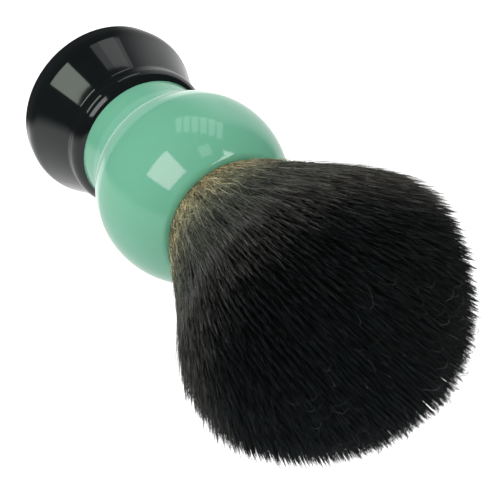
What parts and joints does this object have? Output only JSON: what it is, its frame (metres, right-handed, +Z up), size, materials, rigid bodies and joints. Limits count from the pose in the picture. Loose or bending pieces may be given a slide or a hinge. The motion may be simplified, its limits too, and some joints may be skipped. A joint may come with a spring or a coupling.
{
  "type": "shaving brush",
  "caption": "Shaving brush with a turned two-colour resin handle, a flared foot, a round ball grip and a dense domed knot of dark hair.",
  "frame": {"origin": "centre of the flat face that the brush stands on", "axes": "+Z up along the brush's axis, from the foot to the tip of the hair; X and Y are alike, because the brush is round"},
  "size_m": [0.0578, 0.0578, 0.1125],
  "materials": {
    "black_resin": "turned and polished black resin",
    "green_resin": "turned and polished jade green resin",
    "steel": "plain turned steel with glue grooves",
    "clear_epoxy": "cured two-part epoxy, slightly amber",
    "root_resin": "hair roots set in dark amber resin",
    "cord": "waxed linen cord",
    "hair": "soft dark hair, tan at the roots"
  },
  "bodies": {
    "root": {"foot": "black_resin", "handle_body": "green_resin", "joining_stud": "steel", "joint_glue": "clear_epoxy", "socket_glue": "clear_epoxy", "knot_plug": "root_resin", "binding_cord": "cord", "knot_hair": "hair"}
  },
  "joints": []
}
